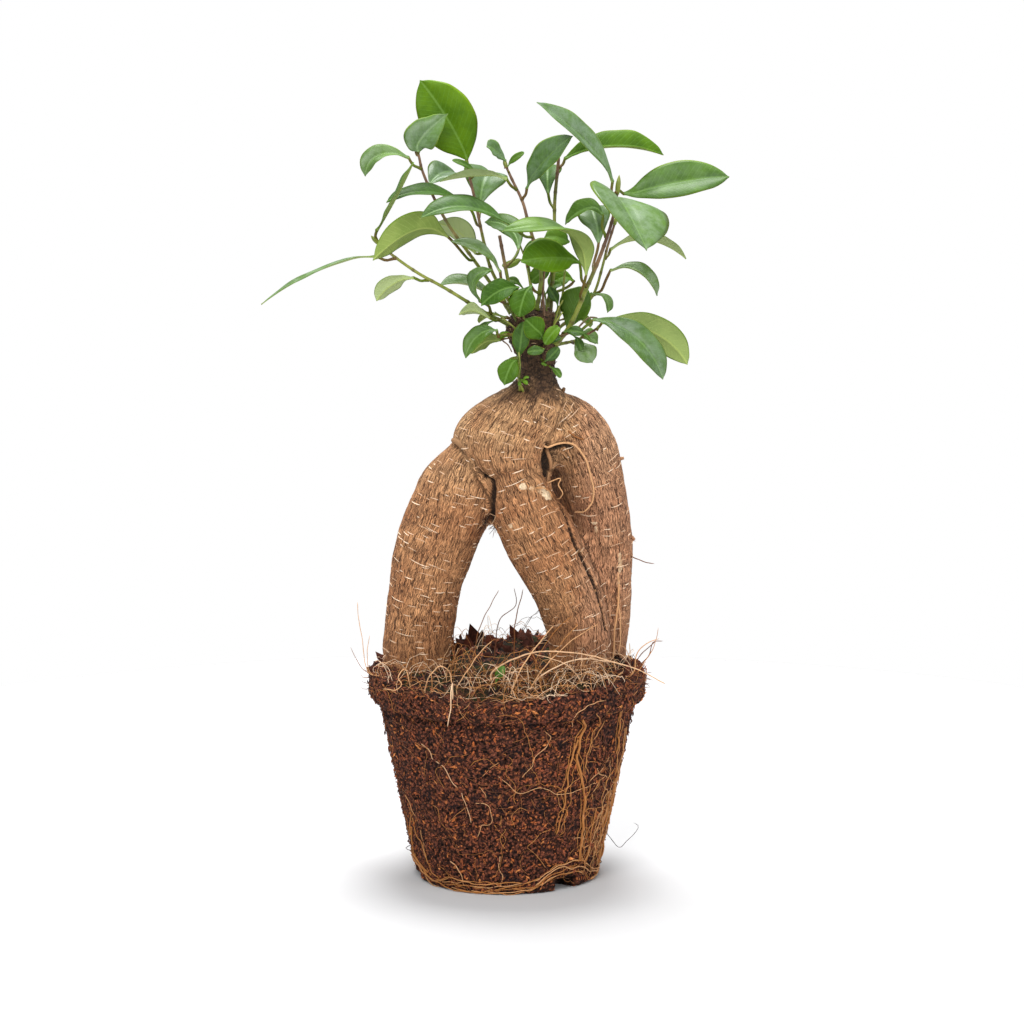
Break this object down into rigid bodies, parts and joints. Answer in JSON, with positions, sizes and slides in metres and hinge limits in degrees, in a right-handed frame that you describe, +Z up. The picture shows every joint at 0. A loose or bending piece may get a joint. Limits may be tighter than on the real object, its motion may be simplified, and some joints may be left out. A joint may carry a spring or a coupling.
{
  "type": "ginseng ficus bonsai",
  "caption": "Bare-rooted ginseng ficus bonsai: thick trunk on swollen aerial-root legs, leafy grafted shoots, and a pot-shaped ball of soil and roots that it stands on.",
  "frame": {"origin": "centre of the root ball's flat underside, on the surface it stands on", "axes": "+Z up along the plant's height, -Y towards the viewer, +X to the viewer's right"},
  "size_m": [0.1877, 0.1148, 0.3278],
  "materials": {
    "root_ball": "rough",
    "bark": "rough",
    "shoot": "satin",
    "leaf": "satin"
  },
  "bodies": {
    "root": {"leaf_cut_stub_1": "leaf", "leaf_cut_stub_2": "leaf", "leaf_cut_stub_3": "leaf", "leaf_cut_stub_4": "leaf", "leaf_far_left_1": "leaf", "leaf_far_left_2": "leaf", "leaf_far_left_3": "leaf", "leaf_far_left_4": "leaf", "leaf_far_left_5": "leaf", "leaf_knob_sprout_1": "leaf", "leaf_knob_sprout_2": "leaf", "leaf_knob_sprout_3": "leaf", "leaf_left_inner_1": "leaf", "leaf_left_inner_2": "leaf", "leaf_left_inner_3": "leaf", "leaf_left_inner_4": "leaf", "leaf_left_tall_1": "leaf", "leaf_left_tall_2": "leaf", "leaf_left_tall_3": "leaf", "leaf_left_tall_4": "leaf", "leaf_middle_left_1": "leaf", "leaf_middle_left_2": "leaf", "leaf_middle_left_3": "leaf", "leaf_middle_left_4": "leaf", "leaf_middle_left_5": "leaf", "leaf_middle_right_1": "leaf", "leaf_middle_right_2": "leaf", "leaf_middle_right_3": "leaf", "leaf_middle_right_4": "leaf", "leaf_neck_sprout_1": "leaf", "leaf_neck_sprout_2": "leaf", "leaf_right_back_1": "leaf", "leaf_right_back_2": "leaf", "leaf_right_back_3": "leaf", "leaf_right_low_1": "leaf", "leaf_right_low_2": "leaf", "leaf_right_low_3": "leaf", "leaf_right_main_1": "leaf", "leaf_right_main_2": "leaf", "leaf_right_main_3": "leaf", "leaf_right_main_4": "leaf", "leaf_right_main_5": "leaf", "leaf_right_main_6": "leaf", "leaf_right_main_7": "leaf", "leaf_right_main_8": "leaf", "leaf_right_main_9": "leaf", "root_ball": "root_ball", "shoot_cut_stub": "shoot", "shoot_far_left": "shoot", "shoot_knob_sprout": "shoot", "shoot_left_inner": "shoot", "shoot_left_tall": "shoot", "shoot_middle_left": "shoot", "shoot_middle_right": "shoot", "shoot_neck_sprout": "shoot", "shoot_right_back": "shoot", "shoot_right_low": "shoot", "shoot_right_main": "shoot", "trunk": "bark"}
  },
  "joints": []
}
